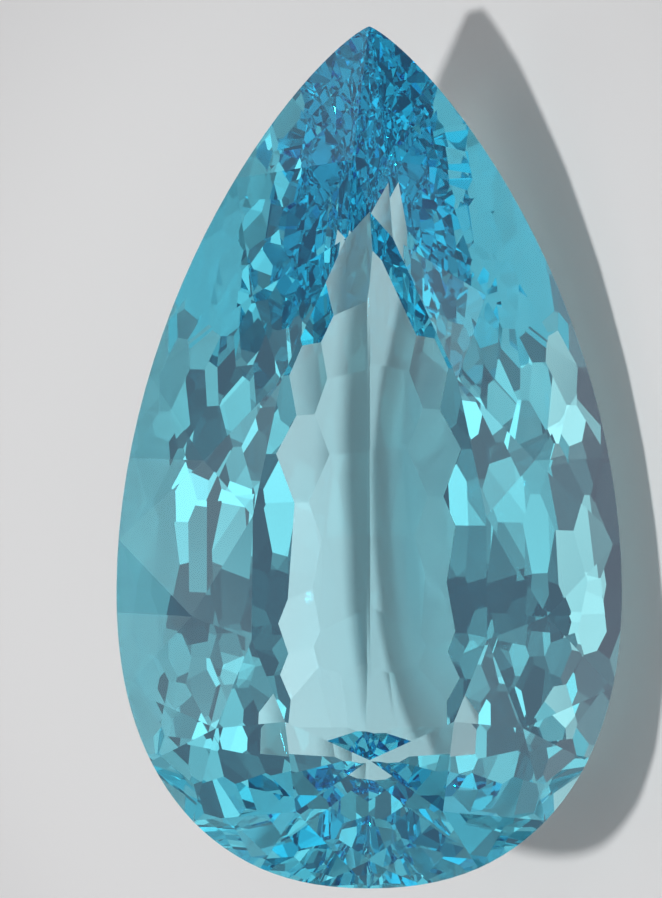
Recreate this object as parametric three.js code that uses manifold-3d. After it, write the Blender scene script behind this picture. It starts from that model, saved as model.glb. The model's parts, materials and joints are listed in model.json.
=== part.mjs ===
// A loose pear-cut gemstone: a small pear-shaped table, a brilliant crown, and a deep pavilion
// cut in staggered rows of diamond-shaped facets on both sides of a keel.
// Millimetres, +Z up. The stone is cut in its own frame: its tip towards +Y, its table facing
// +Z, the girdle's lower edge at z = 0 and x = 0, y = 0 on its widest line. It is then laid down
// on one of its pavilion facets, as a loose stone lies on a flat surface.
import * as THREE from 'three';
import { mergeVertices } from 'three/addons/utils/BufferGeometryUtils.js';
import Module from 'manifold-3d';

// The outline, from the widest line to the tip and to the head's end.
const WIDTH = 8.5;
const TIP_REACH = 9.46;
const HEAD_REACH = 5.04;
const TIP_BEND = 1.9;
const TIP_FULLNESS = 0.8;
const HEAD_BEND = 2.28;
const HEAD_FULLNESS = 1 / HEAD_BEND;
const GIRDLE_STEPS = 60;

// The heights.
const GIRDLE_HEIGHT = 0.22;
const CROWN_HEIGHT = 1.0;
const PAVILION_DEPTH = 4.0;

// The crown: the table's corners, the feet of the main facets and the breaks between them are
// places along the stone on the right-hand side. Each star facet reaches down to its own
// share of the crown's height.
const TABLE_WIDTH = 4.04;
const TABLE_TIP = 6.31;
const TABLE_HEAD = 2.84;
const TABLE_CORNERS = [TABLE_TIP, 5.87, 3.52, 1.23, -0.83, -2.2, -TABLE_HEAD];
const MAIN_FEET = [TIP_REACH, 6.9, 3.6, 0.83, -1.67, -3.9, -HEAD_REACH];
const BREAK_FEET = [8.6, 5.3, 2.2, -0.4, -2.9, -4.7];
const STAR_LEVELS = [0.72, 0.6, 0.6, 0.6, 0.6, 0.6];

// The pavilion: the keel's curve towards the tip and towards the head, and how round the stone
// is on both sides of it. The keel ends at KEEL_END, and the cross-section is a plain V from
// SHARP_FROM to the tip.
const KEEL_END = -2.5;
const KEEL_FLAT = 0.012;
const KEEL_TIP_BEND = 1.9;
const KEEL_TIP_FULLNESS = 0.8;
const KEEL_HEAD_BEND = 2.1;
const KEEL_HEAD_FULLNESS = 0.45;
const ROUNDNESS = 0.64;
const ROUNDNESS_GAIN = 0.09;
const SHARP_FROM = 8.2;
const SHARP_BEND = 4;

// Rows of facets lie from the keel out to the girdle, at stations along the stone. The two
// sides were cut by hand and differ a little. From SPARSE_FROM on, every other row has none.
const ROWS = 7;
const ROW_STEP = 1 / 7.25;
const RIGHT_STATIONS = [-2.05, -1.03, 0, 1.5, 3.17, 4.25, 5.34, 6.43, 7.51, 8.5];
const LEFT_STATIONS = [-1.92, -1.08, -0.17, 1.42, 3.09, 4.09, 5.26, 6.43, 7.51, 8.5];
const SPARSE_FROM = 5.3;

// The row and the station of the broad right-hand facet that the stone lies on.
const REST_ROW = 3;
const REST_STATION = 3;

// The rows that fan out round the head, as shares of the way from the keel's end to the girdle.
const HEAD_ROUNDNESS = 0.45;
const HEAD_ROWS = [0.22, 0.46, 0.7, 0.94];
const HEAD_STATIONS = 4;

const outline = { width: WIDTH, tip: TIP_REACH, head: HEAD_REACH };
const table = { width: TABLE_WIDTH, tip: TABLE_TIP, head: TABLE_HEAD };
const TINY = 1e-4;
const END_GAP = 0.002;
const BLANK_MARGIN = 0.5;
const SMALLEST_EDGE = 0.01;

function halfWidth(pear, y) {
  const towardsTip = y > 0;
  const share = Math.min(1, Math.abs(y) / (towardsTip ? pear.tip : pear.head));
  const bend = towardsTip ? TIP_BEND : HEAD_BEND;
  const fullness = towardsTip ? TIP_FULLNESS : HEAD_FULLNESS;
  return (pear.width / 2) * (1 - share ** bend) ** fullness;
}

// How fast the outline widens along +Y.
function taper(y) {
  return (halfWidth(outline, y + TINY) - halfWidth(outline, y - TINY)) / (2 * TINY);
}

// A facet is a plane through a point, with its normal pointing out of the stone.
const facets = [];

function addFacet(side, point, normal) {
  const facet = {
    point: new THREE.Vector3(side * point.x, point.y, point.z),
    normal: new THREE.Vector3(side * normal.x, normal.y, normal.z).normalize(),
  };
  facets.push(facet);
  return facet;
}

function addBothSides(point, normal) {
  addFacet(1, point, normal);
  addFacet(-1, point, normal);
}

// How deep the keel lies below the girdle.
function keelDepth(y) {
  const share = Math.abs(y) / (y > 0 ? TIP_REACH : HEAD_REACH);
  const bend = y > 0 ? KEEL_TIP_BEND : KEEL_HEAD_BEND;
  const fullness = y > 0 ? KEEL_TIP_FULLNESS : KEEL_HEAD_FULLNESS;
  return PAVILION_DEPTH * (1 - share ** bend) ** fullness;
}

// The cross-section beside the keel: 0 is a straight V, 1 is round. It is a V at the tip.
function roundness(y) {
  if (y < 0) {
    return ROUNDNESS - ROUNDNESS_GAIN * y;
  }
  return ROUNDNESS * Math.max(0, 1 - (y / SHARP_FROM) ** SHARP_BEND);
}

function sideDepth(x, y) {
  const share = x / halfWidth(outline, y);
  const round = roundness(y);
  return keelDepth(y) * (1 - (1 - round) * share - round * share * share);
}

function addSideFacet(side, share, y) {
  const x = share * halfWidth(outline, y);
  const slopeX = (sideDepth(x - TINY, y) - sideDepth(x + TINY, y)) / (2 * TINY);
  const slopeY = (sideDepth(x, y - TINY) - sideDepth(x, y + TINY)) / (2 * TINY);
  return addFacet(side, { x, y, z: -sideDepth(x, y) }, { x: slopeX, y: slopeY, z: -1 });
}

// From the keel's end the rows fan out round the head.
function addHeadFacet(share, turn) {
  const depth = keelDepth(KEEL_END);
  const y = KEEL_END - (HEAD_REACH + KEEL_END) * Math.sin(turn);
  const inside = Math.max(y, END_GAP - HEAD_REACH);
  const atEnd = turn > Math.PI / 2 - TINY;
  const edge = new THREE.Vector2(halfWidth(outline, y), y - KEEL_END);
  const slope = atEnd ? new THREE.Vector2(0, -1) : new THREE.Vector2(1, -taper(inside));
  const round = THREE.MathUtils.lerp(roundness(KEEL_END), HEAD_ROUNDNESS, Math.sin(turn) ** 2);
  const rise = (1 - round) * share + round * share * share;
  const steepness = depth * (1 - round + 2 * round * share);
  slope.multiplyScalar(steepness / slope.dot(edge));
  const point = { x: share * edge.x, y: KEEL_END + share * edge.y, z: -depth * (1 - rise) };
  addBothSides(point, { x: slope.x, y: slope.y, z: -1 });
}

function addSideRows(side, stations) {
  const rows = [];
  for (let row = 1; row <= ROWS; row += 1) {
    const stagger = row % 2 === 0 ? 0.5 : 0;
    const places = stations.slice(1).map((next, k) => stations[k] + stagger * (next - stations[k]));
    const kept = places.filter((y) => y < SPARSE_FROM || row % 2 === 0);
    rows.push(kept.map((y) => addSideFacet(side, row * ROW_STEP, y)));
  }
  return rows;
}

function addHeadRows() {
  HEAD_ROWS.forEach((share, row) => {
    const stagger = row % 2 === 0 ? 0.5 : 1;
    for (let k = 0; k < HEAD_STATIONS; k += 1) {
      addHeadFacet(share, ((k + stagger) / HEAD_STATIONS) * (Math.PI / 2));
    }
  });
}

const rightRows = addSideRows(1, RIGHT_STATIONS);
const leftRows = addSideRows(-1, LEFT_STATIONS);
addHeadRows();

// The height at which a facet's plane crosses the line of the keel.
function keelHeight({ point, normal }, y) {
  return point.z + (normal.x * point.x + normal.y * (point.y - y)) / normal.z;
}

// The keel's own narrow flats, one for each pair of facets beside it.
rightRows[0].forEach((right, k) => {
  const heightAt = (y) => (keelHeight(right, y) + keelHeight(leftRows[0][k], y)) / 2;
  const flat = { x: 0, y: heightAt(1) - heightAt(0), z: -1 };
  addFacet(1, { x: 0, y: 0, z: heightAt(0) + KEEL_FLAT }, flat);
});

const tableLevel = GIRDLE_HEIGHT + CROWN_HEIGHT;

function onGirdle(y) {
  return new THREE.Vector3(halfWidth(outline, y), y, GIRDLE_HEIGHT);
}

function onTable(y) {
  return new THREE.Vector3(halfWidth(table, y), y, tableLevel);
}

function planeThrough(a, b, c) {
  const plane = new THREE.Plane().setFromCoplanarPoints(a, b, c);
  return plane.normal.z < 0 ? plane.negate() : plane;
}

// A main facet rises from the girdle, where it touches the outline, to a corner of the table.
function mainPlane(corner, footY) {
  const foot = onGirdle(footY);
  const atEnd = foot.x < TINY;
  const along = atEnd ? new THREE.Vector3(1, 0, 0) : new THREE.Vector3(taper(footY), 1, 0);
  return planeThrough(corner, foot, along.add(foot));
}

// The point at a level where two planes meet.
function meetAt(first, second, level) {
  const ridge = new THREE.Vector3().crossVectors(first.normal, second.normal);
  const start = new THREE.Vector3()
    .addScaledVector(new THREE.Vector3().crossVectors(second.normal, ridge), -first.constant)
    .addScaledVector(new THREE.Vector3().crossVectors(ridge, first.normal), -second.constant)
    .divideScalar(ridge.lengthSq());
  return start.addScaledVector(ridge, (level - start.z) / ridge.z);
}

function addCrown() {
  addFacet(1, { x: 0, y: 0, z: tableLevel }, { x: 0, y: 0, z: 1 });
  const corners = TABLE_CORNERS.map(onTable);
  const mains = corners.map((corner, k) => mainPlane(corner, MAIN_FEET[k]));
  mains.forEach((plane, k) => addBothSides(corners[k], plane.normal));
  BREAK_FEET.forEach((breakY, k) => {
    const level = GIRDLE_HEIGHT + STAR_LEVELS[k] * CROWN_HEIGHT;
    const meet = meetAt(mains[k], mains[k + 1], level);
    const middle = onGirdle(breakY);
    const star = planeThrough(corners[k], corners[k + 1], meet);
    const upper = planeThrough(onGirdle(MAIN_FEET[k]), middle, meet);
    const lower = planeThrough(middle, onGirdle(MAIN_FEET[k + 1]), meet);
    addBothSides(meet, star.normal);
    addBothSides(meet, upper.normal);
    addBothSides(meet, lower.normal);
  });
}
addCrown();

function outlineShape() {
  const right = [];
  for (let k = 0; k <= GIRDLE_STEPS; k += 1) {
    const turn = Math.PI * (k / GIRDLE_STEPS - 0.5);
    const y = Math.sin(turn) * (turn > 0 ? TIP_REACH : HEAD_REACH);
    right.push(new THREE.Vector2(halfWidth(outline, y), y));
  }
  const left = right.slice(1, -1).reverse().map((p) => new THREE.Vector2(-p.x, p.y));
  return new THREE.Shape([...right, ...left]);
}

const wasm = await Module();
wasm.setup();

function solidOf(geometry) {
  const bare = geometry.clone();
  bare.deleteAttribute('normal');
  bare.deleteAttribute('uv');
  const merged = mergeVertices(bare);
  const vertProperties = Float32Array.from(merged.attributes.position.array);
  const triVerts = Uint32Array.from(merged.index.array);
  return new wasm.Manifold(new wasm.Mesh({ numProp: 3, vertProperties, triVerts }));
}

const blankHeight = PAVILION_DEPTH + tableLevel + 2 * BLANK_MARGIN;
const blank = new THREE.ExtrudeGeometry(outlineShape(), { depth: blankHeight, bevelEnabled: false });
blank.translate(0, 0, -PAVILION_DEPTH - BLANK_MARGIN);
let stone = solidOf(blank);
for (const { point, normal } of facets) {
  const inward = normal.clone().negate();
  stone = stone.trimByPlane(inward.toArray(), inward.dot(point));
}
stone = stone.simplify(SMALLEST_EDGE);

const cut = stone.getMesh();
const geometry = new THREE.BufferGeometry();
geometry.setAttribute('position', new THREE.BufferAttribute(cut.vertProperties, 3));
geometry.setIndex(new THREE.BufferAttribute(cut.triVerts, 1));
const material = new THREE.MeshStandardMaterial({ color: 0x4fb3c4, roughness: 0.02, metalness: 0 });
const tourmaline = new THREE.Mesh(geometry.toNonIndexed(), material);
tourmaline.name = 'tourmaline';

// The facet that the stone lies on faces down, and the table faces up and towards -Y.
const restFacet = rightRows[REST_ROW - 1][REST_STATION];
const up = restFacet.normal.clone().negate();
const back = new THREE.Vector3(0, 0, -1).projectOnPlane(up).normalize();
const right = new THREE.Vector3().crossVectors(back, up);
const lying = new THREE.Matrix4().makeBasis(right, back, up).transpose();
tourmaline.quaternion.setFromRotationMatrix(lying);
const reach = new THREE.Box3().setFromObject(tourmaline, true);
const middle = reach.getCenter(new THREE.Vector3());
tourmaline.position.set(-middle.x, -middle.y, -reach.min.z);

const group = new THREE.Group();
group.add(tourmaline);
export default group;
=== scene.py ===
"""A loose pear-cut paraiba tourmaline, lying on one of its pavilion facets on a pale floor.

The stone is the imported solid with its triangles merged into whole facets, in clear blue-green
crystal. The camera looks down on it, square to its table.
"""

import json
import math

import bmesh
import bpy
from bpy.props import FloatProperty, FloatVectorProperty, IntProperty, PointerProperty
from bpy.types import Operator, Panel, PropertyGroup
from mathutils import Matrix, Vector


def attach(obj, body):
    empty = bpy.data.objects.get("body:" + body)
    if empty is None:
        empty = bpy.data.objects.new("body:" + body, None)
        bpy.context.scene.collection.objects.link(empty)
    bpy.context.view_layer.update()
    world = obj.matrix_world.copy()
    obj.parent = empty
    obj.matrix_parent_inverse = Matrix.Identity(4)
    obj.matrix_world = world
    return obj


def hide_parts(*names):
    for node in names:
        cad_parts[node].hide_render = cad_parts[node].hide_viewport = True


bl_info = {
    "name": "Pear-cut tourmaline",
    "version": (1, 0, 0),
    "blender": (4, 5, 0),
    "location": "3D View > Sidebar > Tourmaline",
    "description": "A loose pear-cut tourmaline and the small studio it lies in",
    "category": "Object",
}

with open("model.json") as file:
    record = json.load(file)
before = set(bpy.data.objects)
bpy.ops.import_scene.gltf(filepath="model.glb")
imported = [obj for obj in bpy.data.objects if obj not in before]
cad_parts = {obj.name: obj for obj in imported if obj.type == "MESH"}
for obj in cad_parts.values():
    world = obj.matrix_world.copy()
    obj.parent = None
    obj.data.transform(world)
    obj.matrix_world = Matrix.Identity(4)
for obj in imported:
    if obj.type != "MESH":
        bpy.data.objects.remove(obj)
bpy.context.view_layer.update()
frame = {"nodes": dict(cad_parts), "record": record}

STONE_NODE = "tourmaline"
BODY = "root"
MM = 0.001

# Where the stone stands in the photograph, in its pixels.
PHOTO_WIDTH = 662
PHOTO_HEIGHT = 898
STONE_TOP = 23
STONE_BOTTOM = 892
STONE_AXIS = 369.5

# The lamp's pool of light on the floor, and the way up from its middle to the lamp.
POOL_CENTRE = (-0.002, 0.003, 0.0)
LAMP_DIRECTION = (0.0, 0.12, 1.0)

# The floor lies a hair under the stone, so that their faces don't fall together.
FLOOR_DROP = 0.01 * MM

# Vertices nearer than this are one, and facets that differ by less than this angle are one.
SAME_POINT = 0.002 * MM
SAME_FACET = math.radians(0.3)

# The noise that spreads the polishing marks: its scale, and the values between which they grow.
MARKS_SCALE = 900.0
MARKS_START = 0.45
MARKS_FULL = 0.75

# The floor is satin, and the edge of the lamp's pool fades over this share of it.
FLOOR_ROUGHNESS = 0.35
POOL_FADE = 0.3

# The inner share of the lens opening that is as dim as the gaps between the tent's bands.
DIM_SHARE = 0.35

# Nothing nearer to the camera than this share of its distance is shown.
NEAR_SHARE = 0.1

# Light meets many facets before it leaves the stone, so many bounces are followed. What one
# bounced ray can add is capped, against stray bright dots.
MOST_BOUNCES = 64
MOST_BOUNCES_OF_A_KIND = 40
BRIGHTEST_BOUNCE = 30


def stone_directions():
    """The table's middle and outward normal, and the direction from the head to the tip."""
    table = next(m for m in frame["record"]["mounts"] if m["name"] == "table")
    middle = Vector(table["pos_m"])
    outward = Vector(table["axis"]).normalized()
    points = [v.co for v in frame["nodes"][STONE_NODE].data.vertices]
    tip = max(points, key=lambda point: point.x) - middle
    along = (tip - tip.dot(outward) * outward).normalized()
    return middle, outward, along


class TourmalineStone(PropertyGroup):
    """Colour and finish of the stone."""

    body_colour: FloatVectorProperty(
        name="Body colour",
        description="Colour that white light takes on inside the stone",
        subtype="COLOR",
        size=3,
        min=0.0,
        max=1.0,
        default=(0.133, 0.833, 0.933),
    )
    colour_depth: FloatProperty(
        name="Colour depth",
        description="How fast the body colour builds up, for each metre of path",
        default=150.0,
        min=0.0,
    )
    refractive_index: FloatProperty(
        name="Refractive index",
        description="Refractive index of the crystal",
        default=1.63,
        min=1.0,
        max=3.0,
    )
    polish_marks: FloatProperty(
        name="Polish marks",
        description="Greatest roughness that the polishing left on a facet",
        default=0.005,
        min=0.0,
        max=1.0,
    )


class TourmalineStudio(PropertyGroup):
    """The floor, the lamp, the light tent and the camera."""

    floor_size: FloatProperty(
        name="Floor size",
        description="Length of the square floor's sides",
        unit="LENGTH",
        default=2.0,
    )
    floor_colour: FloatVectorProperty(
        name="Floor colour",
        description="Colour of the plain floor",
        subtype="COLOR",
        size=3,
        min=0.0,
        max=1.0,
        default=(0.6, 0.6, 0.6),
    )
    lamp_light: FloatProperty(
        name="Lamp light",
        description="Power of the soft spot lamp over the stone",
        unit="POWER",
        default=1.7,
        min=0.0,
    )
    lamp_height: FloatProperty(
        name="Lamp height",
        description="Height of the spot lamp over the floor",
        unit="LENGTH",
        default=0.25,
    )
    lamp_size: FloatProperty(
        name="Lamp size",
        description="Radius of the spot lamp",
        unit="LENGTH",
        default=0.01,
    )
    pool_size: FloatProperty(
        name="Pool size",
        description="Radius of the pool of light round the stone",
        unit="LENGTH",
        default=0.02,
    )
    tent_light: FloatProperty(
        name="Tent light",
        description="Strength of the light tent over the stone",
        default=1.3,
        min=0.0,
    )
    tent_colour: FloatVectorProperty(
        name="Tent colour",
        description="Colour of the lit cloth of the tent",
        subtype="COLOR",
        size=3,
        min=0.0,
        default=(0.97, 1.12, 1.08),
    )
    gap_colour: FloatVectorProperty(
        name="Gap colour",
        description="Colour of the dim room that shows between the bands of the tent",
        subtype="COLOR",
        size=3,
        min=0.0,
        default=(0.17, 0.115, 0.138),
    )
    tent_bands: IntProperty(
        name="Bands round the tent",
        description="How many soft light bands stand round the tent",
        default=9,
        min=0,
    )
    tent_tiers: FloatProperty(
        name="Tiers up the tent",
        description="How many soft light tiers lie one above the other, in a full turn",
        default=10.0,
        min=0.0,
    )
    lens_hole: FloatProperty(
        name="Lens opening",
        description="Half of the dim opening in the tent through which the camera looks",
        subtype="ANGLE",
        default=math.radians(14.0),
    )
    focal_length: FloatProperty(
        name="Focal length",
        description="Focal length of the camera, in millimetres",
        default=300.0,
        min=1.0,
    )


def add_material(name):
    """A new node material with its Principled shader, and its node tree."""
    material = bpy.data.materials.new(name)
    material.use_nodes = True
    tree = material.node_tree
    return material, tree, tree.nodes["Principled BSDF"]


def crystal_material(stone):
    """Clear crystal whose facets keep faint marks of the polishing."""
    material, tree, shader = add_material("clear_tourmaline")
    shader.inputs["Base Color"].default_value = (1.0, 1.0, 1.0, 1.0)
    shader.inputs["Transmission Weight"].default_value = 1.0
    shader.inputs["IOR"].default_value = stone.refractive_index
    place = tree.nodes.new("ShaderNodeTexCoord")
    marks = tree.nodes.new("ShaderNodeTexNoise")
    marks.inputs["Scale"].default_value = MARKS_SCALE
    spread = tree.nodes.new("ShaderNodeMapRange")
    spread.inputs["From Min"].default_value = MARKS_START
    spread.inputs["From Max"].default_value = MARKS_FULL
    spread.inputs["To Max"].default_value = stone.polish_marks
    tree.links.new(place.outputs["Object"], marks.inputs["Vector"])
    tree.links.new(marks.outputs["Fac"], spread.inputs["Value"])
    tree.links.new(spread.outputs["Result"], shader.inputs["Roughness"])
    depth = tree.nodes.new("ShaderNodeVolumeAbsorption")
    depth.inputs["Color"].default_value = (*stone.body_colour, 1.0)
    depth.inputs["Density"].default_value = stone.colour_depth
    tree.links.new(depth.outputs["Volume"], tree.nodes["Material Output"].inputs["Volume"])
    return material


def merged_stone():
    """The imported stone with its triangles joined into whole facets, as a new mesh."""
    work = bmesh.new()
    work.from_mesh(frame["nodes"][STONE_NODE].data)
    bmesh.ops.remove_doubles(work, verts=work.verts, dist=SAME_POINT)
    bmesh.ops.dissolve_limit(work, angle_limit=SAME_FACET, verts=work.verts, edges=work.edges)
    bmesh.ops.recalc_face_normals(work, faces=work.faces)
    for face in work.faces:
        face.smooth = False
    mesh = bpy.data.meshes.new("pear_cut_stone")
    work.to_mesh(mesh)
    work.free()
    return mesh


class TOURMALINE_OT_stone(Operator):
    """Makes the stone's facets and its clear crystal"""

    bl_idname = "tourmaline.stone"
    bl_label = "Stone"

    def execute(self, context):
        mesh = merged_stone()
        mesh.materials.append(crystal_material(context.scene.tourmaline_stone))
        stone = bpy.data.objects.new("pear_cut_stone", mesh)
        context.scene.collection.objects.link(stone)
        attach(stone, BODY)
        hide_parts(STONE_NODE)
        return {"FINISHED"}


def add_floor(scene, studio):
    """The plain pale floor under the stone."""
    half = studio.floor_size / 2
    corners = [(-half, -half), (half, -half), (half, half), (-half, half)]
    mesh = bpy.data.meshes.new("floor")
    mesh.from_pydata([(x, y, -FLOOR_DROP) for x, y in corners], [], [(0, 1, 2, 3)])
    material, _, shader = add_material("plain_floor")
    shader.inputs["Base Color"].default_value = (*studio.floor_colour, 1.0)
    shader.inputs["Roughness"].default_value = FLOOR_ROUGHNESS
    mesh.materials.append(material)
    floor = bpy.data.objects.new("floor", mesh)
    scene.collection.objects.link(floor)


def calculate(tree, operation, *values):
    """One Math node's output. A value is a number or another node's output."""
    node = tree.nodes.new("ShaderNodeMath")
    node.operation = operation
    for socket, value in zip(node.inputs, values):
        if isinstance(value, (int, float)):
            socket.default_value = value
        else:
            tree.links.new(value, socket)
    return node.outputs["Value"]


def soft_wave(tree, angle, crests):
    """A sine wave between 0 and 1, with this many crests in a full turn of the angle."""
    wave = calculate(tree, "SINE", calculate(tree, "MULTIPLY", angle, crests))
    return calculate(tree, "MULTIPLY_ADD", wave, 0.5, 0.5)


def mix_colours(tree, share, first, second):
    """A blend of two colours. Each is three numbers or another node's output."""
    node = tree.nodes.new("ShaderNodeMixRGB")
    tree.links.new(share, node.inputs["Fac"])
    for name, colour in (("Color1", first), ("Color2", second)):
        if isinstance(colour, tuple):
            node.inputs[name].default_value = (*colour, 1.0)
        else:
            tree.links.new(colour, node.inputs[name])
    return node.outputs["Color"]


def add_tent(scene, studio, outward):
    """A light tent of soft bands and tiers, with a dim opening for the lens."""
    gap = tuple(studio.gap_colour)
    tent = tuple(studio.tent_colour)
    world = bpy.data.worlds.new("light_tent")
    world.use_nodes = True
    scene.world = world
    tree = world.node_tree
    place = tree.nodes.new("ShaderNodeTexCoord")
    parts = tree.nodes.new("ShaderNodeSeparateXYZ")
    tree.links.new(place.outputs["Generated"], parts.inputs["Vector"])
    forward = calculate(tree, "MULTIPLY", parts.outputs["Y"], -1.0)
    azimuth = calculate(tree, "ARCTAN2", parts.outputs["X"], forward)
    elevation = calculate(tree, "ARCSINE", parts.outputs["Z"])
    bands = soft_wave(tree, azimuth, studio.tent_bands)
    tiers = soft_wave(tree, elevation, studio.tent_tiers)
    cloth = mix_colours(tree, calculate(tree, "MULTIPLY", bands, tiers), gap, tent)
    towards_lens = tree.nodes.new("ShaderNodeVectorMath")
    towards_lens.operation = "DOT_PRODUCT"
    towards_lens.inputs[1].default_value = outward
    tree.links.new(place.outputs["Generated"], towards_lens.inputs[0])
    edge = tree.nodes.new("ShaderNodeMapRange")
    edge.inputs["From Min"].default_value = math.cos(studio.lens_hole)
    edge.inputs["From Max"].default_value = math.cos(studio.lens_hole * DIM_SHARE)
    tree.links.new(towards_lens.outputs["Value"], edge.inputs["Value"])
    opening = mix_colours(tree, edge.outputs["Result"], cloth, gap)
    background = tree.nodes["Background"]
    background.inputs["Strength"].default_value = studio.tent_light
    tree.links.new(opening, background.inputs["Color"])


def add_lamp(scene, studio):
    """A soft spot lamp over the stone and a little behind it, which lights a pool on the floor."""
    data = bpy.data.lights.new("lamp", "SPOT")
    data.energy = studio.lamp_light
    data.shadow_soft_size = studio.lamp_size
    data.spot_size = 2 * math.atan(studio.pool_size / studio.lamp_height)
    data.spot_blend = POOL_FADE
    lamp = bpy.data.objects.new("lamp", data)
    aim = Vector(POOL_CENTRE)
    ray = Vector(LAMP_DIRECTION) * studio.lamp_height
    turned = ray.to_track_quat("Z", "Y").to_matrix().to_4x4()
    lamp.matrix_world = Matrix.Translation(aim + ray) @ turned
    scene.collection.objects.link(lamp)


def add_camera(scene, studio, middle, outward, along):
    """The camera looks square on the table, with the tip at the top, framed as in the photograph."""
    points = [v.co.dot(along) for v in frame["nodes"][STONE_NODE].data.vertices]
    metres_per_pixel = (max(points) - min(points)) / (STONE_BOTTOM - STONE_TOP)
    aside = along.cross(outward)
    centre = middle + along * ((max(points) + min(points)) / 2 - middle.dot(along))
    centre += aside * (PHOTO_WIDTH / 2 - STONE_AXIS) * metres_per_pixel
    centre += along * ((STONE_TOP + STONE_BOTTOM) / 2 - PHOTO_HEIGHT / 2) * metres_per_pixel
    data = bpy.data.cameras.new("camera")
    data.lens = studio.focal_length
    distance = PHOTO_HEIGHT * metres_per_pixel * data.lens / data.sensor_width
    data.clip_start = distance * NEAR_SHARE
    camera = bpy.data.objects.new("camera", data)
    turned = Matrix((aside, along, outward)).transposed().to_4x4()
    camera.matrix_world = Matrix.Translation(centre + outward * distance) @ turned
    scene.collection.objects.link(camera)
    scene.camera = camera


class TOURMALINE_OT_stage(Operator):
    """Makes the floor, the lamp, the light tent and the camera"""

    bl_idname = "tourmaline.stage"
    bl_label = "Stage"

    def execute(self, context):
        scene = context.scene
        studio = scene.tourmaline_studio
        middle, outward, along = stone_directions()
        add_floor(scene, studio)
        add_tent(scene, studio, outward)
        add_lamp(scene, studio)
        add_camera(scene, studio, middle, outward, along)
        scene.view_settings.view_transform = "Standard"
        scene.cycles.max_bounces = MOST_BOUNCES
        scene.cycles.transmission_bounces = MOST_BOUNCES_OF_A_KIND
        scene.cycles.glossy_bounces = MOST_BOUNCES_OF_A_KIND
        scene.cycles.sample_clamp_indirect = BRIGHTEST_BOUNCE
        return {"FINISHED"}


class TOURMALINE_PT_sidebar(Panel):
    """The settings of the stone and its studio, and the buttons that make them"""

    bl_idname = "TOURMALINE_PT_sidebar"
    bl_label = "Tourmaline"
    bl_space_type = "VIEW_3D"
    bl_region_type = "UI"
    bl_category = "Tourmaline"

    def draw(self, context):
        scene = context.scene
        for settings in (scene.tourmaline_stone, scene.tourmaline_studio):
            box = self.layout.box()
            for name in settings.__annotations__:
                box.prop(settings, name)
        for operator in (TOURMALINE_OT_stone, TOURMALINE_OT_stage):
            self.layout.operator(operator.bl_idname)


CLASSES = (
    TourmalineStone,
    TourmalineStudio,
    TOURMALINE_OT_stone,
    TOURMALINE_OT_stage,
    TOURMALINE_PT_sidebar,
)


def register():
    """Adds the classes and the scene's settings."""
    for cls in CLASSES:
        bpy.utils.register_class(cls)
    bpy.types.Scene.tourmaline_stone = PointerProperty(type=TourmalineStone)
    bpy.types.Scene.tourmaline_studio = PointerProperty(type=TourmalineStudio)


def unregister():
    """Takes the scene's settings and the classes away again."""
    del bpy.types.Scene.tourmaline_studio
    del bpy.types.Scene.tourmaline_stone
    for cls in reversed(CLASSES):
        bpy.utils.unregister_class(cls)


def main():
    """Makes the stage and the stone."""
    register()
    bpy.ops.tourmaline.stage()
    bpy.ops.tourmaline.stone()


if __name__ == "__main__":
    main()
